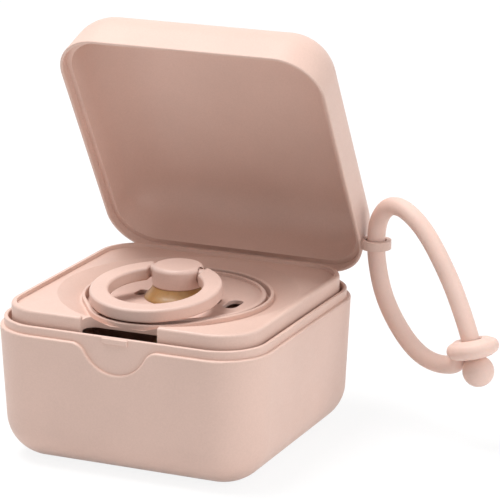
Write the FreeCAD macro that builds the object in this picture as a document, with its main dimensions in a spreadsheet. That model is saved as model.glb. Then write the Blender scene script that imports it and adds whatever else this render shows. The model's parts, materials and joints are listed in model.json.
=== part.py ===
import FreeCAD, Part

import math
import os
import types

import Sketcher

# A square travel case for a pacifier, lid half open, with its lift-out tray, the pacifier and a loop strap.
# Millimetres. The origin is the centre of the flat underside, +Z is up and the front faces -Y.

SIZES = (
    ("overrun", "1.0", "how far a cutting shape runs past what it cuts"),
    ("case_side", "72.0", "side of the square case at its parting step"),
    ("case_corner", "13.0", "corner radius of the case seen from above"),
    ("base_height", "33.7", "underside to the parting step"),
    ("base_taper", "1.7", "how far each wall draws in at the foot"),
    ("base_floor", "2.0", "thickness of the bottom"),
    ("base_wall", "2.0", "thickness of the side walls at the foot"),
    ("foot_round", "10.8", "radius between the walls and the underside"),
    ("rim_height", "2.15", "height of the recessed rim over the parting step"),
    ("rim_inset", "1.05", "recess of the rim behind the outer wall"),
    ("rim_wall", "1.0", "thickness of the rim"),
    ("rim_round", "0.35", "radius of the rim's top edges"),
    ("step_round", "0.45", "radius of the outer edge along the parting step and round the scoop"),
    ("scoop_half_width", "11.6", "half the width of the thumb scoop at the parting step"),
    ("scoop_depth", "7.1", "drop of the thumb scoop below the parting step"),
    ("scoop_bottom_radius", "9.0", "radius of the thumb scoop at its lowest point"),
    ("catch_width", "6.8", "width of the catch on the front of the rim"),
    ("catch_height", "1.5", "height of the catch"),
    ("catch_proud", "0.45", "how far the catch stands out of the rim"),
    ("catch_drop", "0.2", "top of the rim to the top of the catch"),
    ("catch_round", "0.3", "radius of the catch's outer edges"),
    ("rib_depth", "1.4", "how far the tray's rests stand out of the inner wall"),
    ("rib_width", "1.6", "width of a tray rest"),
    ("rib_spread", "36.0", "distance between the two rests on one wall"),
    ("rib_foot", "6.0", "height of the lower end of the rests"),
    ("rest_level", "28.0", "height of the tops of the rests"),
    ("hinge_setback", "2.4", "hinge axis behind the back wall"),
    ("hinge_drop", "0.1", "hinge axis below the parting step"),
    ("knuckle_radius", "1.7", "outer radius of the hinge knuckles"),
    ("knuckle_heel", "1.3", "hinge axis to the squared heel that stops the lid"),
    ("knuckle_web", "5.5", "height of the web under a base knuckle"),
    ("lid_web", "5.0", "height of the web over the lid's knuckle"),
    ("base_knuckle_width", "6.0", "width of each of the two base knuckles"),
    ("lid_knuckle_width", "21.4", "width of the lid's knuckle between them"),
    ("knuckle_gap", "0.3", "side gap between two knuckles"),
    ("pin_radius", "0.8", "radius of the hinge pin"),
    ("pin_clearance", "0.05", "running clearance of the pin in the lid's knuckle"),
    ("lid_open_angle", "60.6", "how far the lid stands open, in degrees"),
    ("lid_overhang", "0.1", "how far the lid stands out over the base"),
    ("lid_gap", "0.3", "gap between the closed lid and the parting step"),
    ("lid_corner", "12.0", "corner radius of the lid seen from above"),
    ("lid_height", "17.7", "height of the lid over its edge"),
    ("lid_taper", "1.5", "how far each lid wall draws in at the top"),
    ("lid_round", "11.5", "radius between the lid's walls and its top"),
    ("lid_edge_round", "0.3", "radius of the lid's lower edges"),
    ("lid_wall", "2.1", "thickness of the lid's walls"),
    ("lid_roof", "1.8", "thickness of the lid's top"),
    ("lip_wall", "0.85", "thickness of the lid's lip outside the rim"),
    ("shelf_gap", "0.3", "gap between the rim and the lid's shelf over it"),
    ("groove_depth", "0.4", "depth of the groove in the lip for the catch"),
    ("groove_side_gap", "0.4", "room beside the catch in its groove"),
    ("lug_reach", "3.3", "strap lug's hole axis outside the case's side"),
    ("lug_back", "25.45", "strap lug behind the middle of the lid"),
    ("lug_rise", "2.2", "strap lug over the parting step"),
    ("lug_wall", "1.15", "thickness of the lug round its hole"),
    ("lug_thickness", "2.2", "length of the lug's hole"),
    ("lug_arm", "2.0", "width of the arm between the lug and the lid"),
    ("cord_clearance", "0.4", "room round the strap's cord in the lug and the eyelet"),
    ("cord_diameter", "4.6", "diameter of the strap's cord"),
    ("eyelet_radius", "6.6", "outer radius of the strap's eyelet"),
    ("eyelet_thickness", "4.5", "thickness of the eyelet"),
    ("eyelet_round", "2.0", "radius of the eyelet's outer edges"),
    ("eyelet_setback", "2.6", "middle of the eyelet before the end of the cord"),
    ("eyelet_tilt_angle", "15.0", "eyelet's axis from upright, in degrees"),
    ("eyelet_stem", "3.5", "length of the stem that joins the cord to the eyelet"),
    ("ball_diameter", "7.9", "diameter of the strap's end ball"),
    ("strap_swing", "-20.0", "turn of the strap's loop from +X about the lug, in degrees"),
    ("tray_gap", "0.35", "gap between the tray and the base"),
    ("tray_proud", "3.45", "how far the tray stands over the rim"),
    ("tray_wall", "1.2", "thickness of the tray's skirt"),
    ("tray_plate", "1.2", "thickness of the tray's plate"),
    ("tray_lip_width", "1.3", "width of the raised border round the tray"),
    ("tray_lip_height", "1.0", "height of the raised border"),
    ("tray_edge_round", "0.7", "radius of the tray's top edge"),
    ("seat_gap", "0.2", "gap under what rests on a seat"),
    ("dish_margin", "3.2", "side of the tray to the edge of its dished middle"),
    ("dish_reach", "1.5", "middle of the tray to the middle of the dish's front radius"),
    ("dish_depth", "1.9", "depth of the dish at the seat"),
    ("seat_margin", "10.2", "side of the tray to the inside of the egg-shaped seat"),
    ("nose_taper", "6.7", "how much smaller the seat's radius is at the front, where the ring lies"),
    ("nose_margin", "4.7", "front of the tray to the front of the seat's rim"),
    ("seat_rim_wall", "0.9", "thickness of the seat's rim"),
    ("seat_rim_height", "1.3", "height of the seat's rim over the dish"),
    ("seat_rim_round", "0.3", "radius of the rim's top edges"),
    ("seat_rim_foot", "0.6", "width of the dish's flat bottom outside the rim"),
    ("seat_depth", "2.4", "top of the seat's rim to its floor"),
    ("seat_floor", "1.2", "thickness of the seat's floor"),
    ("seat_ledge", "1.8", "width of the ledge round the teat's hole that carries the shield"),
    ("notch_half_width", "10.2", "half the width of the notch in the tray's front"),
    ("notch_corner", "2.6", "radius of the notch's inner corners"),
    ("notch_round", "0.4", "radius of the notch's front edges"),
    ("band_height", "2.0", "height of the band that bridges the notch"),
    ("window_back", "16.0", "middle of the tray to the back of the window under the band"),
    ("window_side", "3.0", "how far the window runs on beside the notch, behind the tray's skirt"),
    ("shield_clearance", "1.0", "gap between the shield and the seat's rim"),
    ("shield_thickness", "1.9", "back of the shield to the top of its border"),
    ("shield_edge", "1.4", "thickness of the shield at its border"),
    ("shield_border", "1.1", "width of the shield's raised border"),
    ("shield_border_height", "0.8", "height of the raised border over the shield's face"),
    ("shield_border_round", "0.4", "radius of the border's outer edges"),
    ("shield_slope", "3.0", "edge of the shield to its flat back"),
    ("vent_margin", "7.0", "edge of the shield to the middle of a vent"),
    ("vent_length", "7.2", "length of a vent"),
    ("vent_width", "3.6", "width of a vent"),
    ("vent_round", "0.3", "radius of the vents' edges"),
    ("relief_radius", "10.2", "middle of the shield to the middle of a slot beside the teat"),
    ("relief_length", "5.0", "length of a slot beside the teat"),
    ("relief_width", "2.4", "width of a slot beside the teat"),
    ("collar_radius", "8.5", "radius of the teat's collar on the shield"),
    ("collar_top_radius", "6.2", "radius of the collar under the knob"),
    ("collar_height", "3.2", "height of the collar"),
    ("neck_radius", "7.0", "radius of the teat's neck in the shield"),
    ("flange_radius", "8.4", "radius of the flange behind the shield"),
    ("flange_thickness", "1.0", "thickness of the flange"),
    ("shank_top_radius", "6.0", "radius of the teat's shank below the flange"),
    ("shank_radius", "5.2", "radius of the shank where it meets the bulb"),
    ("shank_slope", "1.6", "height of the slope from the flange to the shank"),
    ("bulb_radius", "8.5", "radius of the teat's bulb"),
    ("teat_length", "25.6", "back of the shield to the tip of the bulb"),
    ("knob_radius", "6.4", "radius of the knob"),
    ("knob_height", "5.2", "height of the knob"),
    ("knob_round", "1.2", "radius of the knob's top edge"),
    ("knob_foot_round", "0.4", "radius of the knob's lower edge"),
    ("knob_notch_radius", "2.2", "radius of the round notch for the end of the ring"),
    ("knob_notch_depth", "1.0", "depth of that notch"),
    ("plug_radius", "3.0", "radius of the plug that holds the teat to the knob"),
    ("plug_clearance", "0.05", "clearance round the plug"),
    ("plug_in_knob", "2.2", "length of the plug inside the knob"),
    ("plug_in_teat", "9.8", "length of the plug inside the teat"),
    ("ring_width", "4.7", "radial width of the ring"),
    ("ring_thickness", "3.4", "thickness of the ring"),
    ("ring_round", "0.7", "radius of the ring's edges"),
    ("ring_lead", "1.2", "middle of the seat's front radius to the middle of the ring"),
    ("ring_droop_angle", "6.0", "slope of the ring as it lies, in degrees"),
    ("ring_knob_gap", "0.5", "gap between the ring's ends and the knob"),
    ("ring_gap_depth", "8.0", "depth of the gap in the ring for the knob"),
    ("pivot_height", "2.9", "foot of the knob to the ring's pivot"),
    ("pivot_boss_radius", "1.7", "radius of the boss on each end of the ring"),
    ("pivot_boss_gap", "0.3", "gap between that boss and the floor of its notch"),
    ("pivot_radius", "1.0", "radius of the ring's pivot pins"),
    ("pivot_length", "1.4", "length of a pivot pin inside the knob"),
    ("pivot_clearance", "0.06", "running clearance of a pivot pin"),
    ("pivot_end_gap", "0.2", "gap at the end of a pivot pin"),
)

REST_WALL_COUNT = 4
VENT_COUNT = 3
RELIEF_COUNT = 2

# The strap's route in its own upright plane: millimetres out from the lug's axis, and up from the lug.
# It starts at the eyelet's stem, goes up through the lug, over the top and down through the eyelet.
STRAP_ROUTE = (
    (25.2, -26.4),
    (20.6, -27.6),
    (12.1, -24.8),
    (3.4, -15.1),
    (0.0, -4.4),
    (0.0, 4.6),
    (2.2, 9.1),
    (5.5, 11.3),
    (10.2, 10.7),
    (16.9, 6.1),
    (24.4, -3.9),
    (28.8, -12.1),
    (31.6, -18.4),
    (33.2, -22.95),
)
ARC_RUN_SHARE = 0.45

SAME_PLACE = 1e-4


class Size:
    """A size together with the sheet expression that gives it."""

    def __init__(self, value, text):
        self.value = value
        self.text = text

    def __add__(self, other):
        return Size(self.value + other.value, f"({self.text} + {other.text})")

    def __sub__(self, other):
        return Size(self.value - other.value, f"({self.text} - {other.text})")

    def __mul__(self, other):
        other = other if isinstance(other, Size) else Size(other, str(other))
        return Size(self.value * other.value, f"({self.text} * {other.text})")

    def __truediv__(self, other):
        other = other if isinstance(other, Size) else Size(other, str(other))
        return Size(self.value / other.value, f"({self.text} / {other.text})")

    def __neg__(self):
        return Size(-self.value, f"(-1 * {self.text})")


def square_root(size):
    return Size(math.sqrt(size.value), f"sqrt({size.text})")


ZERO = Size(0.0, "0")
ONE = Size(1.0, "1")
S = types.SimpleNamespace(**{alias: Size(float(value), f"Sizes.{alias}") for alias, value, note in SIZES})

# Levels and half widths that several pieces share.
case_half = S.case_side / 2
foot_half = case_half - S.base_taper
rim_level = S.base_height + S.rim_height
rim_half = case_half - S.rim_inset
mouth_half = rim_half - S.rim_wall
mouth_corner = S.case_corner - S.rim_inset - S.rim_wall
floor_half = foot_half - S.base_wall
floor_corner = S.case_corner - S.base_taper - S.base_wall
cavity_slope = (mouth_half - floor_half) / (rim_level - S.base_floor)
hinge_y = case_half + S.hinge_setback
hinge_z = S.base_height - S.hinge_drop
cord_radius = S.cord_diameter / 2
cord_hole = cord_radius + S.cord_clearance

tray_foot = S.rest_level + S.seat_gap
tray_top = rim_level + S.tray_proud
tray_half = floor_half + cavity_slope * (tray_foot - S.base_floor) - S.tray_gap
plate_level = tray_top - S.tray_lip_height
dish_level = plate_level - S.dish_depth
seat_top = dish_level + S.seat_rim_height
seat_level = seat_top - S.seat_depth
seat_back = seat_level - S.seat_floor

seat_radius = tray_half - S.seat_margin
nose_radius = seat_radius - S.nose_taper
nose_reach = tray_half - S.nose_margin - S.seat_rim_wall - nose_radius
dish_radius = tray_half - S.dish_margin
dish_nose_radius = dish_radius - S.nose_taper * S.dish_reach / nose_reach
ring_radius = nose_radius
ring_reach = nose_reach + S.ring_lead

shield_radius = seat_radius - S.shield_clearance
shield_flat_radius = shield_radius - S.shield_slope
teat_hole_radius = shield_flat_radius - S.seat_ledge
shield_back = seat_level + S.seat_gap
shield_top = shield_back + S.shield_thickness
shield_face = shield_top - S.shield_border_height
knob_foot = shield_face + S.collar_height
pivot_level = knob_foot + S.pivot_height

doc = FreeCAD.newDocument("pacifier_case")
sheet = doc.addObject("Spreadsheet::Sheet", "Sizes")
for row, (alias, value, note) in enumerate(SIZES, start=1):
    sheet.set(f"A{row}", note)
    sheet.set(f"B{row}", value)
    sheet.setAlias(f"B{row}", alias)
doc.recompute()


def bind(thing, prop, size):
    thing.setExpression(prop, size.text)


def vector(x, y, z):
    return FreeCAD.Vector(x.value, y.value, z.value)


def new_body(label):
    body = doc.addObject("PartDesign::Body", label)
    body.Label = label
    return body


def origin_feature(body, role):
    return next(feature for feature in body.Origin.OriginFeatures if feature.Role == role)


def new_sketch(body, name, role, place=(ZERO, ZERO, ZERO), tilt=None):
    """A sketch on one of the body's planes, moved by place in the plane's own axes and tilted about its x."""
    sketch = body.newObject("Sketcher::SketchObject", name)
    sketch.AttachmentSupport = [(origin_feature(body, role), "")]
    sketch.MapMode = "FlatFace"
    for axis, size in zip("xyz", place):
        bind(sketch, f"AttachmentOffset.Base.{axis}", size)
    if tilt:
        turn = FreeCAD.Rotation(FreeCAD.Vector(1, 0, 0), tilt.value)
        sketch.AttachmentOffset = FreeCAD.Placement(vector(*place), turn)
        bind(sketch, "AttachmentOffset.Rotation.Angle", tilt)
    return sketch


def fix_point(sketch, edge, end, x, y):
    """Ties one end of an edge to its place, from the sketch's origin."""
    for kind, size in (("DistanceX", x), ("DistanceY", y)):
        index = sketch.addConstraint(Sketcher.Constraint(kind, edge, end, size.value))
        bind(sketch, f"Constraints[{index}]", size)


def arc_between(first, last, radius):
    """The shorter arc between two points: a positive radius turns left on the way, a negative one right."""
    chord = last - first
    half = chord.Length / 2
    left = FreeCAD.Vector(-chord.y, chord.x, 0).normalize()
    reach = math.sqrt(max(radius**2 - half**2, 0.0))
    centre = first + chord / 2 + left * math.copysign(reach, radius)
    start, stop = (first, last) if radius > 0 else (last, first)
    angles = [math.atan2(point.y - centre.y, point.x - centre.x) for point in (start, stop)]
    circle = Part.Circle(centre, FreeCAD.Vector(0, 0, 1), abs(radius))
    return Part.ArcOfCircle(circle, *angles)


def outline(sketch, corners, radii=None):
    """A closed outline through the corners. radii gives, by corner number, an arc to the next corner."""
    radii = radii or {}
    points = [FreeCAD.Vector(x.value, y.value, 0) for x, y in corners]
    edges = []
    for number, point in enumerate(points):
        following = points[(number + 1) % len(points)]
        radius = radii.get(number)
        if radius:
            edge = sketch.addGeometry(arc_between(point, following, radius.value), False)
            ends = (1, 2) if radius.value > 0 else (2, 1)
            size = radius if radius.value > 0 else -radius
            index = sketch.addConstraint(Sketcher.Constraint("Radius", edge, size.value))
            bind(sketch, f"Constraints[{index}]", size)
        else:
            edge = sketch.addGeometry(Part.LineSegment(point, following), False)
            ends = (1, 2)
        edges.append((edge, *ends))
    for number, (edge, start, stop) in enumerate(edges):
        following, begin, finish = edges[(number + 1) % len(edges)]
        sketch.addConstraint(Sketcher.Constraint("Coincident", edge, stop, following, begin))
        fix_point(sketch, edge, start, *corners[number])


def circle(sketch, radius, x=ZERO, y=ZERO):
    edge = sketch.addGeometry(Part.Circle(vector(x, y, ZERO), FreeCAD.Vector(0, 0, 1), radius.value), False)
    index = sketch.addConstraint(Sketcher.Constraint("Radius", edge, radius.value))
    bind(sketch, f"Constraints[{index}]", radius)
    fix_point(sketch, edge, 3, x, y)


def rectangle(sketch, x_low, x_high, y_low, y_high):
    outline(sketch, ((x_low, y_low), (x_high, y_low), (x_high, y_high), (x_low, y_high)))


def rounded_square(body, name, half, corner, level):
    """A square sketch with round corners at a height."""
    sketch = new_sketch(body, name, "XY_Plane", (ZERO, ZERO, level))
    flat = half - corner
    corners = (
        (-flat, -half), (flat, -half), (half, -flat), (half, flat),
        (flat, half), (-flat, half), (-half, flat), (-half, -flat),
    )
    outline(sketch, corners, {number: corner for number in (1, 3, 5, 7)})
    return sketch


def egg(sketch, radius, nose, reach):
    """A large circle at the middle and a smaller one in front of it, joined by their tangents."""
    lean = (radius - nose) / reach
    side = square_root(ONE - lean * lean)
    corners = (
        (radius * side, -radius * lean), (ZERO, radius), (-radius * side, -radius * lean),
        (-nose * side, -reach - nose * lean), (ZERO, -reach - nose), (nose * side, -reach - nose * lean),
    )
    outline(sketch, corners, {0: radius, 1: radius, 3: nose, 4: nose})


def oval(sketch, x, length, width):
    """A slot that runs across the sketch's x axis."""
    side = width / 2
    end = (length - width) / 2
    corners = (
        (x - side, -end), (x, -end - side), (x + side, -end),
        (x + side, end), (x, end + side), (x - side, end),
    )
    outline(sketch, corners, {0: side, 1: side, 3: side, 4: side})


def feature(body, kind, name, sketch, length=None, both_ways=False, reverse=False):
    """A pad or pocket of a sketch, or with no length a full turn of it about its own upright axis."""
    made = body.newObject(f"PartDesign::{kind}", name)
    made.Profile = sketch
    if length:
        bind(made, "Length", length)
        made.SideType = "Symmetric" if both_ways else "One side"
        made.Reversed = reverse
    else:
        made.ReferenceAxis = (sketch, ["V_Axis"])
        made.Angle = 360
    doc.recompute()
    return made


def loft(body, kind, name, low, high):
    made = body.newObject(f"PartDesign::{kind}", name)
    made.Profile = low
    made.Sections = [high]
    made.Ruled = True
    doc.recompute()
    return made


def round_edges(body, name, base, radius, wanted):
    """A fillet on the edges of base whose points all pass the test."""
    found = [all(wanted(point) for point in edge.discretize(5)) for edge in base.Shape.Edges]
    names = [f"Edge{number}" for number, good in enumerate(found, start=1) if good]
    made = body.newObject("PartDesign::Fillet", name)
    made.Base = (base, names)
    bind(made, "Radius", radius)
    doc.recompute()
    return made


def outside(point, half, corner):
    """How far a point lies outside a square with round corners."""
    x = abs(point.x) - half + corner
    y = abs(point.y) - half + corner
    return math.hypot(max(x, 0.0), max(y, 0.0)) + min(max(x, y), 0.0) - corner


def at_level(level):
    return lambda point: abs(point.z - level.value) < SAME_PLACE


def pattern(body, name, original, count):
    """Copies of a feature round the body's upright axis."""
    made = body.newObject("PartDesign::PolarPattern", name)
    made.Originals = [original]
    made.Axis = (origin_feature(body, "Z_Axis"), [""])
    made.Angle = 360
    made.Occurrences = count
    body.Tip = made
    doc.recompute()
    return made


def across(radius, rise):
    """How far across a circle of this radius is, at a rise from its centre."""
    return square_root(radius * radius - rise * rise)


def bore(body, name, radius, x_low, length, y, z):
    sketch = new_sketch(body, f"{name}_circle", "YZ_Plane", (ZERO, ZERO, x_low))
    circle(sketch, radius, y, z)
    return feature(body, "Pocket", name, sketch, length, reverse=True)


def stud(body, name, radius, x_low, length, y, z):
    sketch = new_sketch(body, f"{name}_circle", "YZ_Plane", (ZERO, ZERO, x_low))
    circle(sketch, radius, y, z)
    return feature(body, "Pad", name, sketch, length)


def make_base_shell():
    body = new_body("base_shell")
    foot = rounded_square(body, "foot_outline", foot_half, S.case_corner - S.base_taper, ZERO)
    step = rounded_square(body, "step_outline", case_half, S.case_corner, S.base_height)
    loft(body, "AdditiveLoft", "outer_walls", foot, step)
    rim = rounded_square(body, "rim_outline", rim_half, S.case_corner - S.rim_inset, S.base_height)
    feature(body, "Pad", "rim", rim, S.rim_height)
    bottom = rounded_square(body, "floor_outline", floor_half, floor_corner, S.base_floor)
    mouth = rounded_square(body, "mouth_outline", mouth_half, mouth_corner, rim_level)
    hollow = loft(body, "SubtractiveLoft", "cavity", bottom, mouth)
    rounded = round_edges(body, "floor_rounding", hollow, S.foot_round - S.base_wall, at_level(S.base_floor))
    rounded = round_edges(body, "foot_rounding", rounded, S.foot_round, at_level(ZERO))
    round_edges(body, "rim_rounding", rounded, S.rim_round, at_level(rim_level))

    scoop = new_sketch(body, "scoop_outline", "XZ_Plane", (ZERO, ZERO, case_half + S.overrun))
    low = S.scoop_bottom_radius
    wide = S.scoop_half_width
    both = (wide * wide + S.scoop_depth * S.scoop_depth) / (S.scoop_depth * 2)
    shoulder = both - low
    bend_x = wide * low / both
    bend_z = S.base_height - shoulder + (both - S.scoop_depth) * shoulder / both
    lowest = (ZERO, S.base_height - S.scoop_depth)
    corners = (
        (-wide, S.base_height), (-bend_x, bend_z), lowest, (bend_x, bend_z),
        (wide, S.base_height), (wide, rim_level), (-wide, rim_level),
    )
    outline(scoop, corners, {0: -shoulder, 1: low, 2: low, 3: -shoulder})
    scooped = feature(body, "Pocket", "thumb_scoop", scoop, S.rim_inset + S.overrun)

    def on_outer_edge(point):
        share = point.z / S.base_height.value
        half = foot_half.value + S.base_taper.value * share
        corner = S.case_corner.value - S.base_taper.value * (1 - share)
        return point.z > lowest[1].value - SAME_PLACE and abs(outside(point, half, corner)) < SAME_PLACE * 10

    round_edges(body, "step_rounding", scooped, S.step_round, on_outer_edge)

    rib_root = floor_half + cavity_slope * (S.rib_foot - S.base_floor)
    rests = new_sketch(body, "tray_rest_outline", "XY_Plane", (ZERO, ZERO, S.rib_foot))
    for side in (-1, 1):
        middle = S.rib_spread / 2 * side
        half = S.rib_width / 2
        rectangle(rests, rib_root - S.rib_depth, rib_root + S.rib_depth / 4, middle - half, middle + half)
    rest = feature(body, "Pad", "tray_rest", rests, S.rest_level - S.rib_foot)
    pattern(body, "tray_rests", rest, REST_WALL_COUNT)

    catch = new_sketch(body, "catch_outline", "XZ_Plane", (ZERO, ZERO, rim_half - S.rim_wall / 2))
    top = rim_level - S.catch_drop
    rectangle(catch, -S.catch_width / 2, S.catch_width / 2, top - S.catch_height, top)
    bump = feature(body, "Pad", "catch", catch, S.rim_wall / 2 + S.catch_proud)
    front = -(rim_half + S.catch_proud).value
    round_edges(body, "catch_rounding", bump, S.catch_round, lambda point: abs(point.y - front) < SAME_PLACE)

    root = case_half - S.base_wall / 2
    radius = S.knuckle_radius
    profile = (
        (root, hinge_z - S.knuckle_web), (hinge_y + radius, hinge_z - radius / 2),
        (hinge_y + radius, hinge_z + radius / 2), (hinge_y + S.knuckle_heel, hinge_z + radius),
        (hinge_y, hinge_z + radius), (hinge_y - radius, hinge_z), (root, hinge_z),
    )
    inner = S.lid_knuckle_width / 2 + S.knuckle_gap
    for side, start in (("left", -inner - S.base_knuckle_width), ("right", inner)):
        knuckle = new_sketch(body, f"{side}_knuckle_outline", "YZ_Plane", (ZERO, ZERO, start))
        outline(knuckle, profile, {4: radius})
        feature(body, "Pad", f"{side}_knuckle", knuckle, S.base_knuckle_width)
        bore(body, f"{side}_knuckle_bore", S.pin_radius, start, S.base_knuckle_width, hinge_y, hinge_z)
    return body


def make_hinge_pin():
    pin = doc.addObject("Part::Cylinder", "hinge_pin")
    pin.Label = "hinge_pin"
    length = S.lid_knuckle_width + (S.knuckle_gap + S.base_knuckle_width) * 2
    bind(pin, "Radius", S.pin_radius)
    bind(pin, "Height", length)
    across_case = FreeCAD.Rotation(FreeCAD.Vector(0, 1, 0), 90)
    pin.Placement = FreeCAD.Placement(vector(-length / 2, hinge_y, hinge_z), across_case)
    return pin


def make_lid_shell():
    """The lid, drawn closed."""
    body = new_body("lid_shell")
    edge_level = S.base_height + S.lid_gap
    top_level = edge_level + S.lid_height
    lid_half = case_half + S.lid_overhang
    roof_half = lid_half - S.lid_taper
    edge = rounded_square(body, "edge_outline", lid_half, S.lid_corner, edge_level)
    roof = rounded_square(body, "roof_outline", roof_half, S.lid_corner, top_level)
    loft(body, "AdditiveLoft", "outer_walls", edge, roof)
    inner_corner = S.lid_corner - S.lid_wall
    ceiling_level = top_level - S.lid_roof
    mouth = rounded_square(body, "mouth_outline", lid_half - S.lid_wall, inner_corner, edge_level)
    ceiling = rounded_square(body, "ceiling_outline", roof_half - S.lid_wall, inner_corner, ceiling_level)
    hollow = loft(body, "SubtractiveLoft", "cavity", mouth, ceiling)
    rounded = round_edges(body, "ceiling_rounding", hollow, S.lid_round - S.lid_wall, at_level(ceiling_level))
    round_edges(body, "roof_rounding", rounded, S.lid_round, at_level(top_level))
    lip_half = lid_half - S.lip_wall
    rebate = rounded_square(body, "rebate_outline", lip_half, S.lid_corner - S.lip_wall, edge_level)
    rebate_depth = rim_level + S.shelf_gap - edge_level
    stepped = feature(body, "Pocket", "rebate", rebate, rebate_depth, reverse=True)
    round_edges(body, "edge_rounding", stepped, S.lid_edge_round, at_level(edge_level))

    groove = new_sketch(body, "groove_outline", "XZ_Plane", (ZERO, ZERO, lip_half - S.overrun))
    groove_half = S.catch_width / 2 + S.groove_side_gap
    rectangle(groove, -groove_half, groove_half, edge_level - S.overrun, rim_level)
    feature(body, "Pocket", "catch_groove", groove, S.overrun + S.groove_depth, reverse=True)

    radius = S.knuckle_radius
    root = lid_half - S.lip_wall / 2
    low = radius / 2
    web_low = (hinge_y - across(radius, low), hinge_z + low)
    web_high = (hinge_y + across(radius, low), hinge_z + low)
    web_top = (lid_half - S.lip_wall, hinge_z + S.lid_web)
    corners = ((root, hinge_z + low), web_low, (hinge_y, hinge_z - radius), web_high, web_top)
    start = -S.lid_knuckle_width / 2
    knuckle = new_sketch(body, "knuckle_outline", "YZ_Plane", (ZERO, ZERO, start))
    outline(knuckle, corners, {1: radius, 2: radius})
    feature(body, "Pad", "knuckle", knuckle, S.lid_knuckle_width)
    bore(body, "knuckle_bore", S.pin_radius + S.pin_clearance, start, S.lid_knuckle_width, hinge_y, hinge_z)

    lug = new_sketch(body, "lug_outline", "XY_Plane", lug_place, S.lid_open_angle)
    lug_radius = cord_hole + S.lug_wall
    arm = S.lug_arm / 2
    arm_root = -(S.lug_reach - S.lid_overhang + S.lid_wall / 2)
    meet = -across(lug_radius, arm)
    corners = ((arm_root, -arm), (meet, -arm), (lug_radius, ZERO), (meet, arm), (arm_root, arm))
    outline(lug, corners, {1: lug_radius, 2: lug_radius})
    circle(lug, cord_hole)
    feature(body, "Pad", "strap_lug", lug, S.lug_thickness, both_ways=True)
    feature(body, "Pocket", "lug_trim", rebate, rebate_depth, reverse=True)
    return body


lug_place = (case_half + S.lug_reach, S.lug_back, S.base_height + S.lug_rise)


def lid_turn():
    """The move from the closed lid to the open one."""
    turn = FreeCAD.Rotation(FreeCAD.Vector(1, 0, 0), -S.lid_open_angle.value)
    return FreeCAD.Placement(FreeCAD.Vector(), turn, vector(ZERO, hinge_y, hinge_z))


def make_insert_tray():
    body = new_body("insert_tray")
    corner = mouth_corner - S.tray_gap
    foot = rounded_square(body, "skirt_outline", tray_half, corner, tray_foot)
    block = feature(body, "Pad", "outer_walls", foot, tray_top - tray_foot)
    round_edges(body, "top_rounding", block, S.tray_edge_round, at_level(tray_top))
    lip = S.tray_lip_width
    border = rounded_square(body, "border_outline", tray_half - lip, corner - lip, tray_top)
    feature(body, "Pocket", "border", border, S.tray_lip_height)
    dish_top = new_sketch(body, "dish_top_outline", "XY_Plane", (ZERO, ZERO, plate_level))
    egg(dish_top, dish_radius, dish_nose_radius, S.dish_reach)
    dish_low = new_sketch(body, "dish_low_outline", "XY_Plane", (ZERO, ZERO, dish_level))
    foot_offset = S.seat_rim_wall + S.seat_rim_foot
    egg(dish_low, seat_radius + foot_offset, nose_radius + foot_offset, nose_reach)
    loft(body, "SubtractiveLoft", "dish", dish_top, dish_low)
    outer_radius = seat_radius + S.seat_rim_wall
    outer_nose = nose_radius + S.seat_rim_wall
    rim = new_sketch(body, "rim_outline", "XY_Plane", (ZERO, ZERO, dish_level))
    egg(rim, outer_radius, outer_nose, nose_reach)
    feature(body, "Pad", "seat_rim", rim, S.seat_rim_height)
    seat = new_sketch(body, "seat_outline", "XY_Plane", (ZERO, ZERO, seat_top))
    egg(seat, seat_radius, nose_radius, nose_reach)
    recessed = feature(body, "Pocket", "seat", seat, S.seat_depth)
    round_edges(body, "rim_rounding", recessed, S.seat_rim_round, at_level(seat_top))

    inner = tray_half - S.tray_wall
    inside = rounded_square(body, "inside_outline", inner, corner - S.tray_wall, tray_foot)
    feature(body, "Pocket", "inside", inside, seat_back - tray_foot, reverse=True)
    around = rounded_square(body, "around_seat_outline", inner, corner - S.tray_wall, seat_back)
    egg(around, outer_radius, outer_nose, nose_reach)
    feature(body, "Pocket", "around_seat", around, dish_level - S.tray_plate - seat_back, reverse=True)
    hole = new_sketch(body, "teat_hole_circle", "XY_Plane", (ZERO, ZERO, seat_level))
    circle(hole, teat_hole_radius)
    feature(body, "Pocket", "teat_hole", hole, S.seat_floor)

    wide = S.notch_half_width
    front = -tray_half - S.overrun
    back = S.nose_margin - tray_half
    turn = S.notch_corner
    notch = new_sketch(body, "notch_outline", "XY_Plane", (ZERO, ZERO, tray_top))
    corners = (
        (-wide, front), (wide, front), (wide, back - turn), (wide - turn, back),
        (turn - wide, back), (-wide, back - turn),
    )
    outline(notch, corners, {2: turn, 4: turn})
    feature(body, "Pocket", "front_notch", notch, tray_top - tray_foot)
    window = new_sketch(body, "window_outline", "XY_Plane", (ZERO, ZERO, seat_top - S.band_height))
    window_half = wide + S.window_side
    rectangle(window, -window_half, window_half, -inner, -S.window_back)
    opened = feature(body, "Pocket", "window", window, seat_top - S.band_height - tray_foot)

    def on_notch_front(point):
        return abs(abs(point.x) - wide.value) < SAME_PLACE and point.y < -tray_half.value + SAME_PLACE

    round_edges(body, "notch_rounding", opened, S.notch_round, on_notch_front)
    return body


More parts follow.
